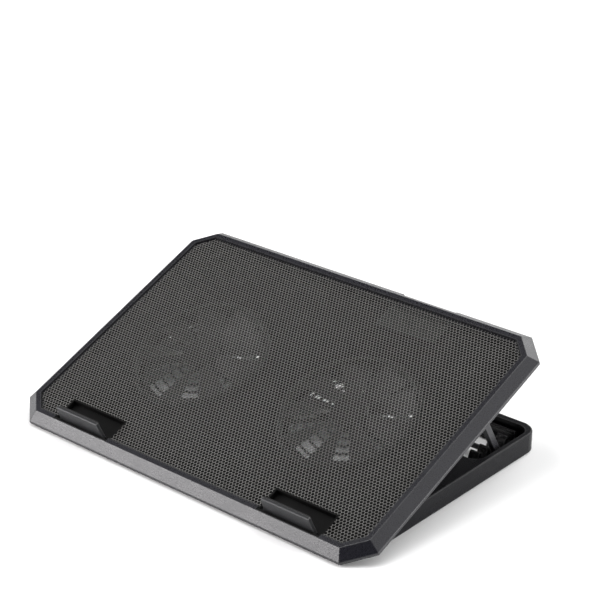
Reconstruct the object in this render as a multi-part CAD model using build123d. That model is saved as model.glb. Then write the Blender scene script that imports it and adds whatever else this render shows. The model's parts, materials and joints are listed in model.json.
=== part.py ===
from build123d import *
import os
from math import atan2, degrees, hypot, sqrt

# Laptop cooling pad in millimetres: a tilted pad with fans, hinged to a base and held up by a prop.
# World frame: X across, Y from front to rear, Z up, origin on the floor under the middle.
# Pad frame: y runs up the pad from its front lip, z is square to the pad, 0 at the lip's underside.

# Pad casing
PAD_WIDTH = 366.0
PAD_DEPTH = 249.0
PAD_TILT = 22.0
PAD_FRONT_Y = -118.85
PAD_FRONT_Z = 0.84
CORNER_LEG = 20.5
LIP_BEVEL = 0.9
LIP_TOP = 3.0
RIM_INSET = 8.0
RIM_TOP = 9.8
EDGE_ROUND = 1.4
WALL = 1.7
SEAT_INSET = 12.2
SEAT_Z = 7.2
LEDGE_INSET = 15.0
LEDGE_Z = 6.0
MESH_THICK = 0.8
SHELL_THICK = 1.8
FIT = 0.2
CAVITY_SHOULDER = 2.32
BOSS_RADIUS = 3.2

# Base tray
BASE_HALF_WIDTH = 168.7
BASE_FRONT_Y = -109.5
BASE_REAR_Y = 120.0
BASE_TOP = 17.0
FOOT_HEIGHT = 0.8
FLOOR_TOP = 2.2
BASE_WALL = 2.5
BASE_CORNER = 15.0
BASE_EDGE_ROUND = 1.5
DECK_THICK = 2.0
DECK_REAR_Y = 43.5
UNDER_PAD_GAP = 1.3
WELL_HALF_WIDTH = 164.2
WELL_REAR_Y = 113.5
WELL_CORNER = 11.0
HOLLOW_MARGIN = (8.0, 2.0)
FLOOR_OPENING_CORNER = 6.0
FLOOR_OPENING = (142.0, 48.0, 102.5)
WINDOW_X = (10.0, 135.0)
WINDOW_Y = (-62.0, 34.0)
WINDOW_CORNER = 12.0
BASE_FEET = [(-153.0, 104.0), (153.0, 104.0), (-150.0, -92.0), (150.0, -92.0)]
FOOT_RADIUS = 7.0
FOOT_PILLAR_RADIUS = 9.0

# Racks that the prop's foot stands in
RACK_X = (143.0, 152.0)
RACK_STRIP_TOP = 2.8
TOOTH_PITCH = 12.0
FIRST_TOOTH_Y = 63.5
TOOTH_COUNT = 4
TOOTH_ROUND = 1.6
TOOTH_ROUND_Z = 10.2
TOOTH_FRONT_RUN = 6.0
RIDGE_Y = 111.0
RIDGE_THICK = 2.0

# Pad hinge, at the front
HINGE_Y = 6.0
HINGE_Z = 2.7
HINGE_X = 60.0
BARREL_RADIUS = 2.0
BARREL_WIDTH = 14.0
LUG_WIDTH = 6.0
SIDE_GAP = 0.3
HINGE_PIN_RADIUS = 1.0
HINGE_SLOT_Y = (2.6, 15.5)
HINGE_ROOT = (5.5, 4.6)
RUNNING_GAP = 0.05

# Prop
PIVOT_Y = 177.3
PIVOT_Z = -6.0
PROP_FOOT_Y = 79.8
PROP_FOOT_Z = 5.6
ARM_X = (154.5, 159.5)
ARM_RADIUS = 3.0
CROSSBAR_RADIUS = 2.2
PIVOT_PIN_RADIUS = 1.5
EAR_THICK = 2.6
EAR_RADIUS = 3.4
EAR_GAP = 0.4
BRACKET_MARGIN = (6.0, 8.0)
BRACKET_THICK = 1.8
ARM_ROUND = 0.8

# Front stops
STOP_X = 109.0
STOP_TOP_WIDTH = 45.0
STOP_FOOT_WIDTH = 49.0
STOP_FRONT_Y = 10.9
STOP_THICK = 2.8
STOP_PAD_THICK = 0.9
STOP_TOP_Z = 22.3
STOP_PIVOT_Y = 12.6
STOP_PIVOT_Z = 6.0
STOP_HEEL_RADIUS = 1.7
STOP_PIN_RADIUS = 0.8
STOP_ROUND = 0.6
STOP_PAD_MARGIN = (0.8, 0.3)
POCKET_HALF_WIDTH = 30.0
POCKET_Y = (8.8, 33.0)
POCKET_Z = (2.2, 8.0)
POCKET_FRONT_TOP = 9.6
POCKET_FRONT_WALL = 1.5
POCKET_WALL = 1.0
POCKET_FLOOR = 1.2

# Fans
FAN_X = 78.0
FAN_Y = 122.0
FAN_WELL_RADIUS = 60.0
FAN_WELL_Z = -5.0
FAN_WELL_FLOOR = 1.5
FAN_INLET_RADIUS = 50.0
FAN_RING_RADII = (54.5, 57.5)
FAN_RING_Z = (-3.5, 6.4)
HUB_RADIUS = 15.0
HUB_Z = (-1.0, 5.6)
HUB_WALL = 1.6
HUB_CAP = 1.4
MOTOR_PLATE = 1.4
STRUT_TURNS = (90, 210, 330)
STRUT_WIDTH = 4.0
STATOR_RADIUS = 11.0
STATOR_TOP = 3.6
SHAFT_RADIUS = 1.5
SHAFT_GAP = 0.2
BLADE_COUNT = 9
BLADE_Z = (-0.8, 4.9)
BLADE_RUN = 1.6
BLADE_ROOT_REACH = 4.0
BLADE_TIP_REACH = 12.5
BLADE_TIP_RADIUS = 52.0
GUARD_THICK = 1.4
GUARD_DISC_RADIUS = 12.0
GUARD_RING_RADII = (20.0, 28.0, 36.0, 44.0)
GUARD_BAR = 1.8
GUARD_SPOKE = 2.2
GUARD_TURNS = (0, 45, 90, 135)

# Rear control panel
PANEL_X = (38.0, 92.0)
PANEL_Y = (243.2, 244.8)
PANEL_TOP = 5.8
PANEL_FIT = 0.1
PART_FRONT_Y = 238.0
INLET_X = 52.0
INLET_Z = 3.6
INLET_HALF = (4.5, 1.6)
INLET_MOUTH_HALF = (4.1, 1.1)
INLET_CORNER = 1.5
INLET_BACK_Y = 239.0
TONGUE_HALF = (3.2, 0.35)
TONGUE_END_Y = 243.8
KNOB_X = 73.5
KNOB_Z = 3.6
KNOB_TRAVEL = 4.0
KNOB_HALF = (1.5, 0.7)
KNOB_Y = (240.4, 246.0)
KNOB_SLOT_HALF = (1.9, 1.0)
KNOB_GRIP_Y = (245.5, 246.4)
KNOB_GRIPS = (-1.0, 0.0, 1.0)
KNOB_GRIP_WIDTH = 0.5
SWITCH_HALF_WIDTH = 6.5
SWITCH_TOP = 5.5
BOARD = ((36.0, 94.0), (212.0, 237.6))
BOARD_THICK = 1.2
BOARD_PARTS = [((60.0, 66.0), (220.0, 226.0), 4.4), ((76.0, 84.0), (218.0, 222.0), 4.0)]

# Screws through the bottom shell
SCREW_RADIUS = 1.4
SCREW_HEAD_RADIUS = 2.8
SCREW_HEAD = 1.0
SCREW_LENGTH = 5.4
SCREWS = [(x, y) for x in (-172.5, 172.5) for y in (40.0, 125.0, 210.0)] + [(0.0, 10.5), (0.0, 238.5)]

CUT = 1.0
FAR = 400.0
PAD_PLACE = Location((0, PAD_FRONT_Y, PAD_FRONT_Z), (PAD_TILT, 0, 0))
SIDES = {"left": -1, "right": 1}


def block(x, y, z):
    """A box between three pairs of limits."""
    size = Box(x[1] - x[0], y[1] - y[0], z[1] - z[0])
    return Pos((x[0] + x[1]) / 2, (y[0] + y[1]) / 2, (z[0] + z[1]) / 2) * size


def disc(x, y, radius, z0, z1):
    """An upright cylinder between two heights."""
    return Pos(x, y, (z0 + z1) / 2) * Cylinder(radius, z1 - z0)


def tube(x, y, inner, outer, z0, z1):
    return disc(x, y, outer, z0, z1) - disc(x, y, inner, z0 - CUT, z1 + CUT)


def rod_x(y, z, radius, x0, x1):
    """A cylinder that lies along X."""
    return Pos((x0 + x1) / 2, y, z) * Rot(0, 90, 0) * Cylinder(radius, x1 - x0)


def side_plate(points, x0, x1):
    """An outline in the Y-Z plane, given thickness along X."""
    return extrude(Plane.YZ.offset(x0) * make_face(Polyline(*points, close=True)), x1 - x0)


def mirrored(side, low, high):
    """X limits on the right side, moved to the named side."""
    return tuple(sorted((SIDES[side] * low, SIDES[side] * high)))


def rounded_plate(x, y, z, corner):
    """A box whose upright edges are rounded."""
    plate = block(x, y, z)
    return fillet(plate.edges().filter_by(Axis.Z), corner)


def outline(inset, z):
    """The pad's eight-sided outline, drawn in by inset, at height z."""
    half = PAD_WIDTH / 2 - inset
    leg = CORNER_LEG - inset * (2 - sqrt(2))
    front, rear = inset, PAD_DEPTH - inset
    right = [(half - leg, front), (half, front + leg), (half, rear - leg), (half - leg, rear)]
    left = [(-x, y) for x, y in reversed(right)]
    return Pos(0, 0, z) * make_face(Polyline(*right, *left, close=True))


def prism(inset, z0, z1):
    return extrude(outline(inset, z0), z1 - z0)


def taper(inset0, z0, inset1, z1):
    return loft([outline(inset0, z0), outline(inset1, z1)], ruled=True)


def below_pad(gap):
    """The space more than gap under the pad's underside, in the world frame."""
    return PAD_PLACE * block((-FAR, FAR), (-FAR, FAR), (-FAR, -gap))


def pad_point(y, z):
    """World Y and Z of a point given in the pad frame."""
    spot = (PAD_PLACE * Pos(0, y, z)).position
    return spot.Y, spot.Z


def pocket_space(side, grow):
    """The block that a stop's pocket takes up, grown all round."""
    middle = SIDES[side] * STOP_X
    half = POCKET_HALF_WIDTH + grow
    y = (POCKET_Y[0] - grow, POCKET_Y[1] + grow)
    return block((middle - half, middle + half), y, (POCKET_Z[0], STOP_TOP_Z))


def top_frame():
    """Outer casing: lip, sloping sides and the rim round the mesh."""
    slope = (RIM_TOP - LIP_TOP) / RIM_INSET
    body = taper(LIP_BEVEL, 0, 0, LIP_BEVEL) + prism(0, LIP_BEVEL, LIP_TOP)
    body += taper(0, LIP_TOP, RIM_INSET, RIM_TOP)
    outer_edges = body.edges().filter_by(lambda e: max(v.Z for v in e.vertices()) > LIP_BEVEL - 0.1)
    body = fillet(outer_edges, EDGE_ROUND)
    cavity = prism(WALL, -CUT, CAVITY_SHOULDER)
    cavity += taper(WALL, CAVITY_SHOULDER, WALL + (LEDGE_Z - CAVITY_SHOULDER) / slope, LEDGE_Z)
    body -= cavity
    body -= prism(SEAT_INSET, SEAT_Z, RIM_TOP + CUT)
    body -= prism(LEDGE_INSET, LEDGE_Z - CUT, RIM_TOP)
    for side in SIDES:
        body -= pocket_space(side, FIT)
    body -= block(PANEL_X, (PANEL_Y[0], PAD_DEPTH + CUT), (-CUT, PANEL_TOP))
    for x, y in SCREWS:
        body += tube(x, y, SCREW_RADIUS, BOSS_RADIUS, SHELL_THICK, LEDGE_Z)
    return body


def mesh_panel():
    """Sheet that the laptop stands on, notched for the stops' pockets."""
    sheet = prism(SEAT_INSET + FIT, SEAT_Z, SEAT_Z + MESH_THICK)
    for side in SIDES:
        sheet -= pocket_space(side, FIT)
    return sheet


def hinge_lugs(side):
    """Two lugs of the pad that hold the hinge pin, one each side of the base's barrel."""
    middle = SIDES[side] * HINGE_X
    near = BARREL_WIDTH / 2 + SIDE_GAP
    lugs = []
    for way in (-1, 1):
        x0, x1 = sorted((middle + way * near, middle + way * (near + LUG_WIDTH)))
        lug = rod_x(HINGE_Y, HINGE_Z, BARREL_RADIUS, x0, x1)
        lug += block((x0, x1), (HINGE_Y - BARREL_RADIUS, HINGE_Y + BARREL_RADIUS), (0, HINGE_Z))
        lugs.append(lug)
    return lugs


def bottom_shell():
    """Underside of the pad, with the two fan wells, the hinge lugs and their slots."""
    shell = prism(WALL + PANEL_FIT, 0, SHELL_THICK)
    slot = BARREL_WIDTH / 2 + SIDE_GAP
    reach = slot + LUG_WIDTH + CUT
    for side, way in SIDES.items():
        x = way * FAN_X
        shell += disc(x, FAN_Y, FAN_WELL_RADIUS, FAN_WELL_Z, SHELL_THICK)
        shell -= disc(x, FAN_Y, FAN_WELL_RADIUS - WALL, FAN_WELL_Z + FAN_WELL_FLOOR, SHELL_THICK + CUT)
        shell -= disc(x, FAN_Y, FAN_INLET_RADIUS, FAN_WELL_Z - CUT, 0)
        hinge_x = way * HINGE_X
        shell -= block((hinge_x - slot, hinge_x + slot), HINGE_SLOT_Y, (-CUT, SHELL_THICK + CUT))
        for lug in hinge_lugs(side):
            shell += lug
        shell -= rod_x(HINGE_Y, HINGE_Z, HINGE_PIN_RADIUS, hinge_x - reach, hinge_x + reach)
    shell -= block(PANEL_X, (PANEL_Y[0] - PANEL_FIT, PAD_DEPTH), (-CUT, SHELL_THICK + CUT))
    for x, y in SCREWS:
        shell -= disc(x, y, SCREW_RADIUS, -CUT, SHELL_THICK + CUT)
    return shell


def stop_pocket(side):
    """Tray that a stop stands in and folds back into."""
    middle = SIDES[side] * STOP_X
    x = (middle - POCKET_HALF_WIDTH, middle + POCKET_HALF_WIDTH)
    tray = block(x, POCKET_Y, POCKET_Z)
    tray += block(x, (POCKET_Y[0], POCKET_Y[0] + POCKET_FRONT_WALL), (POCKET_Z[0], POCKET_FRONT_TOP))
    hollow_x = (x[0] + POCKET_WALL, x[1] - POCKET_WALL)
    hollow_y = (POCKET_Y[0] + POCKET_FRONT_WALL, POCKET_Y[1] - POCKET_WALL)
    tray -= block(hollow_x, hollow_y, (POCKET_Z[0] + POCKET_FLOOR, STOP_TOP_Z))
    tray -= rod_x(STOP_PIVOT_Y, STOP_PIVOT_Z, STOP_PIN_RADIUS, x[0] - CUT, x[1] + CUT)
    return tray


def front_stop(side):
    """Flip-up plate that keeps the laptop from sliding off: wider at its heel than at its top."""
    middle = SIDES[side] * STOP_X
    half = STOP_FOOT_WIDTH / 2
    corners = [
        (middle - half, STOP_PIVOT_Z),
        (middle + half, STOP_PIVOT_Z),
        (middle + STOP_TOP_WIDTH / 2, STOP_TOP_Z),
        (middle - STOP_TOP_WIDTH / 2, STOP_TOP_Z),
    ]
    face = Pos(0, STOP_FRONT_Y, 0) * Rot(90, 0, 0) * make_face(Polyline(*corners, close=True))
    plate = extrude(face, -STOP_THICK)
    top_edges = plate.edges().filter_by(lambda e: min(v.Z for v in e.vertices()) > STOP_PIVOT_Z + CUT)
    plate = fillet(top_edges, STOP_ROUND)
    plate += rod_x(STOP_PIVOT_Y, STOP_PIVOT_Z, STOP_HEEL_RADIUS, middle - half, middle + half)
    bore = STOP_PIN_RADIUS + RUNNING_GAP
    return plate - rod_x(STOP_PIVOT_Y, STOP_PIVOT_Z, bore, middle - half - CUT, middle + half + CUT)


def stop_pad(side):
    """Rubber lining on the stop's rear face, where the laptop's front edge rests."""
    middle = SIDES[side] * STOP_X
    side_margin, top_margin = STOP_PAD_MARGIN
    half = STOP_TOP_WIDTH / 2 - side_margin
    rear = STOP_FRONT_Y + STOP_THICK
    z = (RIM_TOP - 1, STOP_TOP_Z - top_margin)
    return block((middle - half, middle + half), (rear, rear + STOP_PAD_THICK), z)


def stop_pin(side):
    middle = SIDES[side] * STOP_X
    half = POCKET_HALF_WIDTH
    return rod_x(STOP_PIVOT_Y, STOP_PIVOT_Z, STOP_PIN_RADIUS, middle - half, middle + half)


def fan_frame(way):
    """Ring round the rotor, with three struts and the plate that carries the motor."""
    x = way * FAN_X
    z = (FAN_RING_Z[0], FAN_RING_Z[0] + MOTOR_PLATE)
    frame = tube(x, FAN_Y, *FAN_RING_RADII, *FAN_RING_Z)
    frame += disc(x, FAN_Y, HUB_RADIUS, *z)
    for turn in STRUT_TURNS:
        reach = (HUB_RADIUS - CUT, FAN_RING_RADII[0] + CUT)
        strut = block(reach, (-STRUT_WIDTH / 2, STRUT_WIDTH / 2), z)
        frame += Pos(x, FAN_Y, 0) * Rot(0, 0, turn) * strut
    return frame


def fan_stator(way):
    low = FAN_RING_Z[0] + MOTOR_PLATE
    return tube(way * FAN_X, FAN_Y, SHAFT_RADIUS + RUNNING_GAP, STATOR_RADIUS, low, STATOR_TOP)


def fan_shaft(way):
    low = FAN_RING_Z[0] + MOTOR_PLATE + SHAFT_GAP
    return disc(way * FAN_X, FAN_Y, SHAFT_RADIUS, low, HUB_Z[1] - HUB_CAP)


def blade_section(radius, reach):
    """Slanted section of a blade at a radius; reach is its half-length round the fan."""
    low, high = BLADE_Z
    corners = [(-reach, low), (BLADE_RUN - reach, low), (reach, high), (reach - BLADE_RUN, high)]
    return Plane.YZ.offset(radius) * make_face(Polyline(*corners, close=True))


def fan_rotor(way):
    """Hub cup with slanted blades."""
    rotor = disc(0, 0, HUB_RADIUS, *HUB_Z)
    rotor -= disc(0, 0, HUB_RADIUS - HUB_WALL, HUB_Z[0] - CUT, HUB_Z[1] - HUB_CAP)
    root = blade_section(HUB_RADIUS - HUB_WALL / 2, BLADE_ROOT_REACH)
    tip = blade_section(BLADE_TIP_RADIUS, BLADE_TIP_REACH)
    blade = loft([root, tip], ruled=True)
    for number in range(BLADE_COUNT):
        rotor += Rot(0, 0, number * 360 / BLADE_COUNT) * blade
    return Pos(way * FAN_X, FAN_Y, 0) * rotor


def fan_guard(way):
    """Flat grille in the floor of a fan well."""
    z = (FAN_WELL_Z, FAN_WELL_Z + GUARD_THICK)
    reach = FAN_INLET_RADIUS - CUT
    guard = disc(0, 0, GUARD_DISC_RADIUS, *z)
    for radius in (*GUARD_RING_RADII, FAN_INLET_RADIUS - GUARD_BAR / 2):
        guard += tube(0, 0, radius - GUARD_BAR / 2, radius + GUARD_BAR / 2, *z)
    for turn in GUARD_TURNS:
        guard += Rot(0, 0, turn) * block((-reach, reach), (-GUARD_SPOKE / 2, GUARD_SPOKE / 2), z)
    return Pos(way * FAN_X, FAN_Y, 0) * guard


def around(x, z, half, y):
    """A box along Y with the given half-width and half-height round a middle line."""
    return block((x - half[0], x + half[0]), y, (z - half[1], z + half[1]))


def knob_slot(y):
    """The space that the knob slides in."""
    half = (KNOB_SLOT_HALF[0] + KNOB_TRAVEL / 2, KNOB_SLOT_HALF[1])
    return around(KNOB_X + KNOB_TRAVEL / 2, KNOB_Z, half, y)


def rear_panel():
    """Upright panel in the rear edge, with holes for the power inlet and the switch."""
    through = (PANEL_Y[0] - CUT, PANEL_Y[1] + CUT)
    hole = (INLET_HALF[0] + PANEL_FIT, INLET_HALF[1] + PANEL_FIT)
    panel = block((PANEL_X[0] + PANEL_FIT, PANEL_X[1] - PANEL_FIT), PANEL_Y, (0, PANEL_TOP - PANEL_FIT))
    return panel - around(INLET_X, INLET_Z, hole, through) - knob_slot(through)


def inlet_shell():
    """Metal shell of the power inlet, open to the rear."""
    shell = around(INLET_X, INLET_Z, INLET_HALF, (PART_FRONT_Y, PANEL_Y[1]))
    shell = fillet(shell.edges().filter_by(Axis.Y), INLET_CORNER)
    return shell - around(INLET_X, INLET_Z, INLET_MOUTH_HALF, (INLET_BACK_Y, PAD_DEPTH))


def inlet_tongue():
    return around(INLET_X, INLET_Z, TONGUE_HALF, (INLET_BACK_Y, TONGUE_END_Y))


def switch_body():
    middle = KNOB_X + KNOB_TRAVEL / 2
    x = (middle - SWITCH_HALF_WIDTH, middle + SWITCH_HALF_WIDTH)
    body = block(x, (PART_FRONT_Y, PANEL_Y[0]), (SHELL_THICK, SWITCH_TOP))
    return body - knob_slot((PART_FRONT_Y + 2 * CUT, PANEL_Y[0] + CUT))


def switch_knob():
    """Sliding knob with three grip ridges."""
    knob = around(KNOB_X, KNOB_Z, KNOB_HALF, KNOB_Y)
    for shift in KNOB_GRIPS:
        knob += around(KNOB_X + shift, KNOB_Z, (KNOB_GRIP_WIDTH / 2, KNOB_HALF[1]), KNOB_GRIP_Y)
    return knob


def control_board():
    top = SHELL_THICK + BOARD_THICK
    board = block(*BOARD, (SHELL_THICK, top))
    for x, y, part_top in BOARD_PARTS:
        board += block(x, y, (top, part_top))
    return board


def prop_bracket(side):
    """Plate under the pad with two ears that carry one prop arm."""
    margin_x, margin_y = BRACKET_MARGIN
    x = mirrored(side, ARM_X[0] - margin_x, ARM_X[1] + margin_x)
    bracket = block(x, (PIVOT_Y - margin_y, PIVOT_Y + margin_y), (-BRACKET_THICK, 0))
    inner = (ARM_X[0] - EAR_GAP - EAR_THICK, ARM_X[0] - EAR_GAP)
    outer = (ARM_X[1] + EAR_GAP, ARM_X[1] + EAR_GAP + EAR_THICK)
    for ear in (inner, outer):
        ear_x = mirrored(side, *ear)
        bracket += rod_x(PIVOT_Y, PIVOT_Z, EAR_RADIUS, *ear_x)
        bracket += block(ear_x, (PIVOT_Y - EAR_RADIUS, PIVOT_Y + EAR_RADIUS), (PIVOT_Z, -1))
    return bracket - rod_x(PIVOT_Y, PIVOT_Z, PIVOT_PIN_RADIUS, -FAR, FAR)


def pivot_pins():
    reach = EAR_GAP + EAR_THICK
    spans = [mirrored(side, ARM_X[0] - reach, ARM_X[1] + reach) for side in SIDES]
    return [rod_x(PIVOT_Y, PIVOT_Z, PIVOT_PIN_RADIUS, *span) for span in spans]


def hinge_pins():
    reach = BARREL_WIDTH / 2 + SIDE_GAP + LUG_WIDTH
    spans = [(way * HINGE_X - reach, way * HINGE_X + reach) for way in SIDES.values()]
    return [rod_x(HINGE_Y, HINGE_Z, HINGE_PIN_RADIUS, *span) for span in spans]


def shell_screws():
    heads = [disc(x, y, SCREW_HEAD_RADIUS, -SCREW_HEAD, 0) for x, y in SCREWS]
    shanks = [disc(x, y, SCREW_RADIUS, 0, SCREW_LENGTH) for x, y in SCREWS]
    return [head + shank for head, shank in zip(heads, shanks)]


def prop_arm(side):
    """Straight flat arm from the bracket's pin down to the foot bar."""
    pivot_y, pivot_z = pad_point(PIVOT_Y, PIVOT_Z)
    run, drop = PROP_FOOT_Y - pivot_y, PROP_FOOT_Z - pivot_z
    x0, x1 = mirrored(side, *ARM_X)
    length = hypot(run, drop)
    middle = Pos((pivot_y + PROP_FOOT_Y) / 2, (pivot_z + PROP_FOOT_Z) / 2)
    shape = middle * Rot(0, 0, degrees(atan2(drop, run))) * SlotCenterToCenter(length, 2 * ARM_RADIUS)
    arm = extrude(Plane.YZ.offset(x0) * shape, x1 - x0)
    arm = fillet(arm.edges().filter_by(lambda e: abs(e.length - length) < 0.1), ARM_ROUND)
    return arm - rod_x(pivot_y, pivot_z, PIVOT_PIN_RADIUS + RUNNING_GAP, x0 - CUT, x1 + CUT)


def prop_crossbar():
    return rod_x(PROP_FOOT_Y, PROP_FOOT_Z, CROSSBAR_RADIUS, -ARM_X[0], ARM_X[0])


def base_tray():
    """Wedge-fronted tray: open deck in front, well for the prop behind, hinge barrels at the front."""
    width = (-BASE_HALF_WIDTH, BASE_HALF_WIDTH)
    body = rounded_plate(width, (BASE_FRONT_Y, BASE_REAR_Y), (FOOT_HEIGHT, BASE_TOP), BASE_CORNER)
    top_edges = body.edges().filter_by(lambda e: min(v.Z for v in e.vertices()) > BASE_TOP - 0.1)
    body = fillet(top_edges, BASE_EDGE_ROUND)
    body &= below_pad(UNDER_PAD_GAP)
    inner = BASE_HALF_WIDTH - BASE_WALL
    hollow_y = (BASE_FRONT_Y + HOLLOW_MARGIN[0], DECK_REAR_Y - HOLLOW_MARGIN[1])
    hollow = rounded_plate((-inner, inner), hollow_y, (-CUT, BASE_TOP - DECK_THICK), WINDOW_CORNER)
    body -= hollow & below_pad(UNDER_PAD_GAP + DECK_THICK)
    well_x = (-WELL_HALF_WIDTH, WELL_HALF_WIDTH)
    body -= rounded_plate(well_x, (DECK_REAR_Y, WELL_REAR_Y), (FLOOR_TOP, BASE_TOP + CUT), WELL_CORNER)
    half, front, rear = FLOOR_OPENING
    body -= rounded_plate((-half, half), (front, rear), (-CUT, FLOOR_TOP + CUT), FLOOR_OPENING_CORNER)
    for side in SIDES:
        window_x = mirrored(side, *WINDOW_X)
        body -= rounded_plate(window_x, WINDOW_Y, (FLOOR_TOP, BASE_TOP + CUT), WINDOW_CORNER)
    for x, y in BASE_FEET[2:]:
        body += disc(x, y, FOOT_PILLAR_RADIUS, FOOT_HEIGHT, BASE_TOP) & below_pad(UNDER_PAD_GAP)
    hinge_y, hinge_z = pad_point(HINGE_Y, HINGE_Z)
    root_y = BASE_FRONT_Y + HINGE_ROOT[0]
    web = [
        (hinge_y, hinge_z - BARREL_RADIUS),
        (BASE_FRONT_Y + 1, FOOT_HEIGHT),
        (root_y, FOOT_HEIGHT),
        (root_y, HINGE_ROOT[1]),
        (hinge_y + 1, hinge_z + BARREL_RADIUS * 0.8),
        (hinge_y, hinge_z + BARREL_RADIUS),
    ]
    for way in SIDES.values():
        x = (way * HINGE_X - BARREL_WIDTH / 2, way * HINGE_X + BARREL_WIDTH / 2)
        body += side_plate(web, *x) + rod_x(hinge_y, hinge_z, BARREL_RADIUS, *x)
        body -= rod_x(hinge_y, hinge_z, HINGE_PIN_RADIUS + RUNNING_GAP, x[0] - CUT, x[1] + CUT)
    return body


def rack(side):
    """Row of hooked teeth on a strip, with steep rear faces and leaning front faces."""
    x = mirrored(side, *RACK_X)
    strip_end = FIRST_TOOTH_Y + (TOOTH_COUNT - 1) * TOOTH_PITCH + TOOTH_ROUND
    body = block(x, (FIRST_TOOTH_Y - TOOTH_FRONT_RUN, strip_end), (FLOOR_TOP, RACK_STRIP_TOP))
    for number in range(TOOTH_COUNT):
        y = FIRST_TOOTH_Y + number * TOOTH_PITCH
        face = [
            (y - TOOTH_FRONT_RUN, FLOOR_TOP),
            (y - 0.9 * TOOTH_ROUND, TOOTH_ROUND_Z + 0.4 * TOOTH_ROUND),
            (y + TOOTH_ROUND, TOOTH_ROUND_Z),
            (y + TOOTH_ROUND, FLOOR_TOP),
        ]
        body += side_plate(face, *x) + rod_x(y, TOOTH_ROUND_Z, TOOTH_ROUND, *x)
    return body


def rear_ridge():
    """Low wall with a round top across the rear of the well."""
    x = (-RACK_X[1], RACK_X[1])
    wall = block(x, (RIDGE_Y - RIDGE_THICK / 2, RIDGE_Y + RIDGE_THICK / 2), (FLOOR_TOP, TOOTH_ROUND_Z))
    return wall + rod_x(RIDGE_Y, TOOTH_ROUND_Z, TOOTH_ROUND, *x)


def base_feet():
    return [disc(x, y, FOOT_RADIUS, 0, FOOT_HEIGHT) for x, y in BASE_FEET]


def save(name, shape, place=Location()):
    """Write one node; a list of solids becomes one group."""
    shape = Compound(children=shape) if isinstance(shape, list) else shape
    export_step(shape.moved(place), f"parts/{name}.step")


os.makedirs("parts", exist_ok=True)
save("base_tray", base_tray())
save("base_feet", base_feet())
save("rear_ridge", rear_ridge())
save("prop_crossbar", prop_crossbar())
save("top_frame", top_frame(), PAD_PLACE)
save("mesh_panel", mesh_panel(), PAD_PLACE)
save("bottom_shell", bottom_shell(), PAD_PLACE)
save("rear_panel", rear_panel(), PAD_PLACE)
save("usb_inlet_shell", inlet_shell(), PAD_PLACE)
save("usb_inlet_tongue", inlet_tongue(), PAD_PLACE)
save("switch_body", switch_body(), PAD_PLACE)
save("switch_knob", switch_knob(), PAD_PLACE)
save("control_board", control_board(), PAD_PLACE)
save("prop_pivot_pins", pivot_pins(), PAD_PLACE)
save("hinge_pins", hinge_pins(), PAD_PLACE)
save("shell_screws", shell_screws(), PAD_PLACE)
for side, way in SIDES.items():
    save(f"rack_{side}", rack(side))
    save(f"prop_arm_{side}", prop_arm(side))
    save(f"prop_bracket_{side}", prop_bracket(side), PAD_PLACE)
    save(f"stop_pocket_{side}", stop_pocket(side), PAD_PLACE)
    save(f"front_stop_{side}", front_stop(side), PAD_PLACE)
    save(f"stop_pad_{side}", stop_pad(side), PAD_PLACE)
    save(f"stop_pin_{side}", stop_pin(side), PAD_PLACE)
    save(f"fan_frame_{side}", fan_frame(way), PAD_PLACE)
    save(f"fan_stator_{side}", fan_stator(way), PAD_PLACE)
    save(f"fan_shaft_{side}", fan_shaft(way), PAD_PLACE)
    save(f"fan_rotor_{side}", fan_rotor(way), PAD_PLACE)
    save(f"fan_guard_{side}", fan_guard(way), PAD_PLACE)
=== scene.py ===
import json
import math
import bmesh
import bpy
from mathutils import Matrix, Vector


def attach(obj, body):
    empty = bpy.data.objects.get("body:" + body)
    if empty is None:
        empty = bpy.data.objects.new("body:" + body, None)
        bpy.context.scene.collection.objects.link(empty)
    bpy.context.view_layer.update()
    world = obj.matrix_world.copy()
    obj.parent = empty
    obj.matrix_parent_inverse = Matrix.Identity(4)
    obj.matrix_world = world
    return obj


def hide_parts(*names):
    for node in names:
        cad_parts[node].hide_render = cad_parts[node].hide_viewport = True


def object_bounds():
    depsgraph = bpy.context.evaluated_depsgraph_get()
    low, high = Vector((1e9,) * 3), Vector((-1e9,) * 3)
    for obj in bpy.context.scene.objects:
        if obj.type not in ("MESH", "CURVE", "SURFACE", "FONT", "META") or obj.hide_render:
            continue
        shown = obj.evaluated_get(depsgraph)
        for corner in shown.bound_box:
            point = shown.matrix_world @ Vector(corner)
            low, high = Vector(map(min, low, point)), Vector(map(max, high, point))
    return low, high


MM = 0.001

# The pad's own frame, in millimetres from the front of its lip: where the hinge lies in it.
HINGE_IN_PAD = Vector((0, 6.0, 2.7))

# Perforated sheet: hexagonal holes in a hexagonal grid
HOLE_PITCH = 2.92
HOLE_WIDTH = 2.48
HOLE_MOUTH = 2.64
MOUTH_DEPTH = 0.14
SHEET_GAP = 0.3
SHEET_INSET = 12.5
SHEET_LOW = 7.2
SHEET_HIGH = 8.0
SHADED_BORDER = 0.5
LOOKS_UP = 0.3
HOLE_LOOPS = ((HOLE_PITCH, SHEET_HIGH), (HOLE_MOUTH, SHEET_HIGH), (HOLE_WIDTH, SHEET_HIGH - MOUTH_DEPTH))
ROW_STEP = HOLE_PITCH * math.sqrt(3) / 2
PAD_DEPTH = 249.0
CORNER_LEG = 20.5
POCKET_MIDDLE = 109.0
POCKET_HALF = 30.0
POCKET_REAR = 33.0

# Grain of moulded plastic: noise scales per metre, and how far in from an edge the painted highlight reaches, in
# metres
GRAIN_SCALE = 1000
FINE_SCALE = 1900
PATCH_SCALE = 55
HIGHLIGHT_REACH = 0.0016

# Camera
LENS = 111.85
SENSOR = 36.0
AZIMUTH = 40.9
ELEVATION = 24.2
CAMERA_PLACE = (0.8752, -0.9842, 0.7101)

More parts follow.
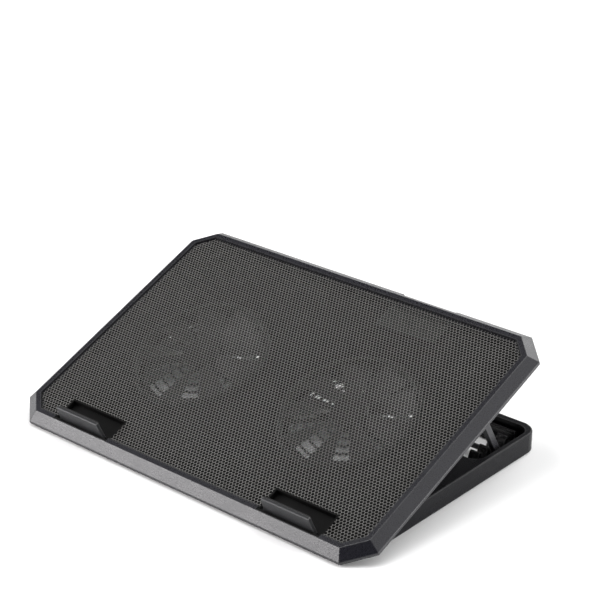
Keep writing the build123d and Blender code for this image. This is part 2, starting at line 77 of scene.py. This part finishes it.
# Surroundings: how bright, and the dark parts as direction, inner and outer angle, and what is left there
WORLD_LEVEL = 1.35
WORLD_DARK = [
    ((0.35, -0.68, 0.62), 18, 58, 0.02),
    ((-0.60, 0.69, 0.36), 8, 30, 0.05),
    ((-0.60, 0.24, 0.76), 8, 34, 0.12),
]

# Softboxes: direction from the object, distance, width, height, radiance and tint
WHITE = (1, 1, 1)
SOFTBOXES = {
    "front_left_box": ((-0.60, -0.73, 0.33), 1.9, 1.3, 0.9, 9.0, (1.0, 0.975, 0.985)),
    "rear_box": ((0.05, 0.84, 0.56), 2.2, 1.4, 0.9, 2.8, WHITE),
    "top_box": ((0.15, 0.38, 0.91), 2.6, 1.2, 1.2, 2.6, WHITE),
    "edge_box": ((-0.14, -0.20, 0.97), 2.6, 0.9, 0.7, 8.0, WHITE),
    "right_box": ((0.87, 0.43, 0.23), 2.4, 1.4, 0.8, 7.0, WHITE),
}
LIT_POINT = (0, 0, 0.05)
FLOOR_REACH = 14.0

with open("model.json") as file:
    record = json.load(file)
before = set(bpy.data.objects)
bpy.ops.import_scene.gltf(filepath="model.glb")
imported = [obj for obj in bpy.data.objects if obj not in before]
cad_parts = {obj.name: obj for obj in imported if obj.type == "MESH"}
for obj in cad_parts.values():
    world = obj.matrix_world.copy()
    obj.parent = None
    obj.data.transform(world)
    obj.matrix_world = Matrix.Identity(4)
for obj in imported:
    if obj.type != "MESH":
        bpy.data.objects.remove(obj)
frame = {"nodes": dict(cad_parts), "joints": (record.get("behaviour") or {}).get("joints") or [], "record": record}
cad_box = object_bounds()
PAD_WIDTH = round((cad_box[1][0] - cad_box[0][0]) / MM, 1)
joints = {j["name"]: j for j in frame["joints"]}
nodes = frame["nodes"]


def pad_matrix():
    """Turns a point of the pad's frame, in millimetres, into the row frame, in metres."""
    fan_axis = joints["fan_spin_left"]["axis"]
    tilt = math.atan2(-fan_axis[1], fan_axis[2])
    hinge = Vector((0, *joints["pad_tilt"]["pos_m"][1:]))
    turn = Matrix.Rotation(tilt, 4, "X")
    return Matrix.Translation(hinge) @ turn @ Matrix.Scale(MM, 4) @ Matrix.Translation(-HINGE_IN_PAD)


PAD = pad_matrix()


# ---------------------------------------------------------------- materials

class Shader:
    """A material with its Principled BSDF, and short ways to add and link nodes."""

    def __init__(self, name):
        self.material = bpy.data.materials.new(name)
        self.material.use_nodes = True
        self.tree = self.material.node_tree
        self.bsdf = self.tree.nodes["Principled BSDF"]
        self.place = self.add("ShaderNodeTexCoord").outputs["Object"]

    def add(self, kind, **settings):
        node = self.tree.nodes.new(kind)
        for key, value in settings.items():
            if hasattr(node, key):
                setattr(node, key, value)
            else:
                node.inputs[key].default_value = value
        return node

    def link(self, out, into):
        self.tree.links.new(out, into)

    def noise(self, scale, detail=3.0, roughness=0.55):
        node = self.add("ShaderNodeTexNoise", Scale=scale, Detail=detail, Roughness=roughness)
        self.link(self.place, node.inputs["Vector"])
        return node.outputs["Fac"]

    def ranged(self, source, low, high, from_low=0.3, from_high=0.7):
        node = self.add("ShaderNodeMapRange")
        values = (from_low, from_high, low, high)
        for key, value in zip(("From Min", "From Max", "To Min", "To Max"), values):
            node.inputs[key].default_value = value
        self.link(source, node.inputs["Value"])
        return node.outputs["Result"]

    def blend(self, factor, low, high):
        node = self.add("ShaderNodeMix", data_type="RGBA")
        node.inputs["A"].default_value = (*low, 1)
        node.inputs["B"].default_value = (*high, 1)
        self.link(factor, node.inputs["Factor"])
        return node.outputs["Result"]

    def bump(self, height, distance, strength=1.0):
        node = self.add("ShaderNodeBump", Distance=distance, Strength=strength)
        self.link(height, node.inputs["Height"])
        old = self.bsdf.inputs["Normal"].links
        if old:
            self.link(old[0].from_socket, node.inputs["Normal"])
        self.link(node.outputs["Normal"], self.bsdf.inputs["Normal"])

    def edge_mask(self, radius):
        """Near 1 along sharp edges, near 0 on flat faces."""
        bevel = self.add("ShaderNodeBevel", samples=4, Radius=radius)
        normal = self.add("ShaderNodeNewGeometry").outputs["Normal"]
        dot = self.add("ShaderNodeVectorMath", operation="DOT_PRODUCT")
        self.link(bevel.outputs["Normal"], dot.inputs[0])
        self.link(normal, dot.inputs[1])
        return self.ranged(dot.outputs["Value"], 1.0, 0.0, 0.86, 0.995)


def plastic(name, color, rough, highlight_share=0.8, lift=5.0, gloss=0.5, speckle=0.2):
    """Moulded plastic: speckled grain, patchy roughness, and edges painted paler as a highlight."""
    s = Shader(name)
    s.bsdf.inputs["Specular IOR Level"].default_value = gloss
    grain = s.noise(GRAIN_SCALE, 3.0, 0.7)
    patch = s.noise(PATCH_SCALE, 4.0)
    low, high = [c * (1 - speckle) for c in color], [c * (1 + speckle) for c in color]
    base = s.blend(s.ranged(grain, 0.0, 1.0), low, high)
    # Paler colour along the edges: a painted highlight.
    edge_highlight = s.add("ShaderNodeMix", data_type="RGBA")
    s.link(base, edge_highlight.inputs["A"])
    edge_highlight.inputs["B"].default_value = (*[sum(color) / 3 * lift] * 3, 1)
    edge = s.add("ShaderNodeMath", operation="MULTIPLY")
    edge.inputs[1].default_value = highlight_share
    s.link(s.edge_mask(HIGHLIGHT_REACH), edge.inputs[0])
    s.link(edge.outputs[0], edge_highlight.inputs["Factor"])
    s.link(edge_highlight.outputs["Result"], s.bsdf.inputs["Base Color"])
    mottle = s.add("ShaderNodeMath", operation="ADD")
    s.link(s.ranged(patch, rough - 0.03, rough + 0.03), mottle.inputs[0])
    s.link(s.ranged(grain, -0.05, 0.05), mottle.inputs[1])
    s.link(mottle.outputs[0], s.bsdf.inputs["Roughness"])
    s.bump(grain, 0.00014, 0.8)
    s.bump(s.noise(FINE_SCALE, 2.0), 0.00004, 0.5)
    return s.material


def coated_metal(name, color, rough):
    """Black lacquer on sheet metal, with a faint orange-peel surface."""
    s = Shader(name)
    patch = s.noise(90, 3.0)
    s.link(s.blend(s.ranged(patch, 0, 1), color, [c * 1.08 for c in color]), s.bsdf.inputs["Base Color"])
    s.link(s.ranged(patch, rough - 0.02, rough + 0.02), s.bsdf.inputs["Roughness"])
    s.bump(s.noise(1300, 2.0), 0.00003, 0.4)
    return s.material


def steel(name, color, rough):
    """Bright steel with fine turning marks along X."""
    s = Shader(name)
    stretch = s.add("ShaderNodeMapping", Scale=(60, 2600, 2600))
    s.link(s.place, stretch.inputs["Vector"])
    marks = s.add("ShaderNodeTexNoise", Scale=1.0, Detail=3.0)
    s.link(stretch.outputs["Vector"], marks.inputs["Vector"])
    s.bsdf.inputs["Metallic"].default_value = 1.0
    s.link(s.blend(marks.outputs["Fac"], [c * 0.8 for c in color], color), s.bsdf.inputs["Base Color"])
    s.link(s.ranged(marks.outputs["Fac"], rough - 0.08, rough + 0.1), s.bsdf.inputs["Roughness"])
    s.bump(marks.outputs["Fac"], 0.00002, 0.5)
    return s.material


def rubber(name, color):
    """Matt rubber with a soft, slightly dusty surface."""
    s = Shader(name)
    dust = s.noise(350, 5.0, 0.7)
    s.link(s.blend(s.ranged(dust, 0, 1), color, [c * 1.8 for c in color]), s.bsdf.inputs["Base Color"])
    s.link(s.ranged(dust, 0.72, 0.9), s.bsdf.inputs["Roughness"])
    s.bump(s.noise(1800, 2.0), 0.00008, 0.6)
    return s.material


def circuit_board(name):
    """Black lacquer over a faint pattern of tracks."""
    s = Shader(name)
    tracks = s.add("ShaderNodeTexBrick", Scale=220.0)
    s.link(s.place, tracks.inputs["Vector"])
    tracks.inputs["Color1"].default_value = (0.004, 0.006, 0.005, 1)
    tracks.inputs["Color2"].default_value = (0.005, 0.008, 0.006, 1)
    tracks.inputs["Mortar"].default_value = (0.010, 0.016, 0.012, 1)
    s.link(tracks.outputs["Color"], s.bsdf.inputs["Base Color"])
    s.link(s.ranged(s.noise(200), 0.3, 0.45), s.bsdf.inputs["Roughness"])
    s.bump(tracks.outputs["Fac"], 0.00005, 0.5)
    return s.material


MATERIALS = {
    "casing_plastic": plastic("casing_plastic", (0.0088, 0.0087, 0.0122), 0.29),
    "base_plastic": plastic("base_plastic", (0.0050, 0.0050, 0.0066), 0.30, gloss=0.14, lift=12.0),
    "prop_plastic": plastic("prop_plastic", (0.034, 0.034, 0.038), 0.30),
    "rack_plastic": plastic("rack_plastic", (0.010, 0.010, 0.011), 0.22, gloss=0.6, lift=8.0),
    "stop_plastic": plastic("stop_plastic", (0.015, 0.0155, 0.017), 0.34, highlight_share=0.4),
    "fan_plastic": plastic("fan_plastic", (0.005, 0.005, 0.005), 0.36, gloss=0.3),
    "guard_plastic": plastic("guard_plastic", (0.006, 0.006, 0.007), 0.42, gloss=0.3),
    # Darkest plastic: painted shade for the stop's pocket and the shell under the sheet.
    "black_plastic": plastic("black_plastic", (0.0025, 0.0025, 0.0025), 0.55, gloss=0.12, highlight_share=0.2),
    # The sheet's top faces get a pale copy of the black lacquer, a painted highlight; mesh_shade is its black
    # copy, painted shade.
    "mesh_metal": coated_metal("mesh_metal", (0.150, 0.147, 0.142), 0.30),
    "mesh_shade": coated_metal("mesh_shade", (0.003, 0.003, 0.003), 0.60),
    "rubber": rubber("rubber", (0.006, 0.006, 0.006)),
    "steel": steel("steel", (0.56, 0.56, 0.57), 0.28),
    "blackened_steel": steel("blackened_steel", (0.02, 0.02, 0.022), 0.45),
    "motor": steel("motor", (0.12, 0.12, 0.125), 0.45),
    "inlet_metal": steel("inlet_metal", (0.60, 0.60, 0.61), 0.30),
    "board": circuit_board("board"),
}
# The stop's pocket and the shell under the sheet take the darkest plastic, darker than the casing as painted shade
# in these recesses.
OWN_LOOK = {
    "stop_pocket": "black_plastic",
    "stop_pin": "blackened_steel",
    "bottom_shell": "black_plastic",
    "rack": "rack_plastic",
    "rear_ridge": "rack_plastic",
}
NODE_SLOT = {row["node"]: row["material_slot"] for row in frame["record"]["subparts"]}


def paint(obj, *materials):
    obj.data.materials.clear()
    for material in materials:
        obj.data.materials.append(MATERIALS[material])


def paint_cad():
    for name, obj in nodes.items():
        stem = name.removesuffix("_left").removesuffix("_right")
        paint(obj, OWN_LOOK.get(stem, NODE_SLOT[name]))


# ---------------------------------------------------------------- perforated sheet

def hexagon(x, y, width):
    """Corners of a hexagon with two upright sides, width apart."""
    reach = width / math.sqrt(3)
    turns = [math.radians(30 + 60 * k) for k in range(6)]
    return [(x + reach * math.cos(a), y + reach * math.sin(a)) for a in turns]


def outline_sides():
    """A point on each side of the sheet's outline, with the outward direction there."""
    half = PAD_WIDTH / 2 - SHEET_INSET
    low, high = SHEET_INSET, PAD_DEPTH - SHEET_INSET
    leg = CORNER_LEG - SHEET_INSET * (2 - math.sqrt(2))
    sides = [((0, low), (0, -1)), ((0, high), (0, 1))]
    for way in (-1, 1):
        sides.append(((way * half, 0), (way, 0)))
        sides.append(((way * (half - leg), low), (way, -1)))
        sides.append(((way * (half - leg), high), (way, 1)))
    return sides


def near_outline(spot):
    """Whether a point of the sheet lies in its border along the outline, which gets painted shade."""
    for point, out in outline_sides():
        way = Vector(out).normalized()
        if way.dot(Vector(point) - spot.xy) < SHADED_BORDER:
            return True
    return False


def in_shade(face):
    """Whether a face of the sheet gets painted shade: a hole's wall, an underside or the border along the outline.
    """
    return face.normal.z < LOOKS_UP or near_outline(face.calc_center_median())


def perforated_piece(name, x0, x1, front):
    """One strip of the sheet between x0 and x1, cut to the outline, with real holes."""
    sheet = bmesh.new()
    rows = range(int(front / ROW_STEP) - 2, int(PAD_DEPTH / ROW_STEP) + 2)
    columns = range(int(x0 / HOLE_PITCH) - 3, int(x1 / HOLE_PITCH) + 4)
    for row in rows:
        for column in columns:
            x, y = (column + 0.5 * (row % 2)) * HOLE_PITCH, row * ROW_STEP
            rings = [[sheet.verts.new((*p, z)) for p in hexagon(x, y, width)] for width, z in HOLE_LOOPS]
            for outer, inner in zip(rings, rings[1:]):
                for k in range(6):
                    after = (k + 1) % 6
                    sheet.faces.new((outer[k], outer[after], inner[after], inner[k]))
    bmesh.ops.remove_doubles(sheet, verts=sheet.verts, dist=0.01)
    cuts = outline_sides() + [((x0, 0), (-1, 0)), ((x1, 0), (1, 0)), ((0, front), (0, -1))]
    for point, out in cuts:
        everything = sheet.verts[:] + sheet.edges[:] + sheet.faces[:]
        plane = {"plane_co": (*point, 0), "plane_no": (*out, 0)}
        bmesh.ops.bisect_plane(sheet, geom=everything, clear_outer=True, **plane)
    lower = bmesh.ops.extrude_face_region(sheet, geom=sheet.faces[:], use_keep_orig=True)["geom"]
    for vert in [g for g in lower if isinstance(g, bmesh.types.BMVert)]:
        vert.co.z = SHEET_LOW
    bmesh.ops.recalc_face_normals(sheet, faces=sheet.faces)
    sheet.normal_update()
    # Hole walls, underside and border take the black copy of the lacquer: painted shade.
    shade = [int(in_shade(face)) for face in sheet.faces]
    sheet.transform(PAD)
    mesh = bpy.data.meshes.new(name)
    sheet.to_mesh(mesh)
    sheet.free()
    piece = bpy.data.objects.new(name, mesh)
    bpy.context.scene.collection.objects.link(piece)
    paint(piece, "mesh_metal", "mesh_shade")
    for face in mesh.polygons:
        face.material_index = shade[face.index]
    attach(piece, "pad")
    return piece


def perforated_sheet():
    near = POCKET_MIDDLE - POCKET_HALF - SHEET_GAP
    far = POCKET_MIDDLE + POCKET_HALF + SHEET_GAP
    edge = PAD_WIDTH / 2
    behind_pocket = POCKET_REAR + SHEET_GAP
    strips = {
        "perforated_sheet_far_left": (-edge, -far, 0),
        "perforated_sheet_left": (-far, -near, behind_pocket),
        "perforated_sheet_middle_left": (-near, 0, 0),
        "perforated_sheet_middle_right": (0, near, 0),
        "perforated_sheet_right": (near, far, behind_pocket),
        "perforated_sheet_far_right": (far, edge, 0),
    }
    pieces = [perforated_piece(name, *limits) for name, limits in strips.items()]
    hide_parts("mesh_panel")


# ---------------------------------------------------------------- stage

def softbox(name, towards, distance, width, height, radiance, tint):
    """A rectangular light that faces the object; radiance is how bright it looks from there."""
    towards = Vector(towards)
    light = bpy.data.lights.new(name, "AREA")
    light.shape = "RECTANGLE"
    light.size, light.size_y = width, height
    light.energy = radiance * width * height * math.pi
    light.color = tint
    lamp = bpy.data.objects.new(name, light)
    bpy.context.scene.collection.objects.link(lamp)
    lamp.location = Vector(LIT_POINT) + towards.normalized() * distance
    lamp.rotation_euler = towards.to_track_quat("Z", "Y").to_euler()
    lamp.visible_camera = False


def white_floor():
    floor_mesh = bpy.data.meshes.new("floor")
    ways = ((-1, -1), (1, -1), (1, 1), (-1, 1))
    corners = [(x * FLOOR_REACH, y * FLOOR_REACH, 0) for x, y in ways]
    floor_mesh.from_pydata(corners, [], [(0, 1, 2, 3)])
    floor = bpy.data.objects.new("floor", floor_mesh)
    bpy.context.scene.collection.objects.link(floor)
    s = Shader("floor_paper")
    s.link(s.blend(s.noise(3), (0.94, 0.94, 0.94), (0.95, 0.95, 0.95)), s.bsdf.inputs["Base Color"])
    s.bsdf.inputs["Roughness"].default_value = 0.9
    s.bsdf.inputs["Specular IOR Level"].default_value = 0.1
    floor.data.materials.append(s.material)


def studio_world():
    """Bright surroundings with the dark parts that WORLD_DARK lists."""
    world = bpy.data.worlds.new("studio")
    bpy.context.scene.world = world
    world.use_nodes = True
    tree = world.node_tree
    background = tree.nodes["Background"]
    coordinates = tree.nodes.new("ShaderNodeTexCoord")
    level = None
    for middle, near, far, low in WORLD_DARK:
        dot = tree.nodes.new("ShaderNodeVectorMath")
        dot.operation = "DOT_PRODUCT"
        dot.inputs[1].default_value = Vector(middle).normalized()
        tree.links.new(coordinates.outputs["Generated"], dot.inputs[0])
        ramp = tree.nodes.new("ShaderNodeMapRange")
        ramp.interpolation_type = "SMOOTHSTEP"
        edge_far, edge_near = math.cos(math.radians(far)), math.cos(math.radians(near))
        for key, value in {"From Min": edge_far, "From Max": edge_near, "To Min": 1.0, "To Max": low}.items():
            ramp.inputs[key].default_value = value
        tree.links.new(dot.outputs["Value"], ramp.inputs["Value"])
        if level:
            product = tree.nodes.new("ShaderNodeMath")
            product.operation = "MULTIPLY"
            tree.links.new(level, product.inputs[0])
            tree.links.new(ramp.outputs["Result"], product.inputs[1])
            level = product.outputs[0]
        else:
            level = ramp.outputs["Result"]
    tree.links.new(level, background.inputs["Color"])
    background.inputs["Strength"].default_value = WORLD_LEVEL


def camera():
    data = bpy.data.cameras.new("camera")
    data.lens = LENS
    data.sensor_width = SENSOR
    data.clip_end = 50
    cam = bpy.data.objects.new("camera", data)
    bpy.context.scene.collection.objects.link(cam)
    cam.location = CAMERA_PLACE
    cam.rotation_euler = (math.radians(90 - ELEVATION), 0, math.radians(AZIMUTH))
    bpy.context.scene.camera = cam


def stage():
    white_floor()
    studio_world()
    for name, settings in SOFTBOXES.items():
        softbox(name, *settings)
    bpy.context.scene.view_settings.view_transform = "Standard"
    camera()


paint_cad()
perforated_sheet()
stage()
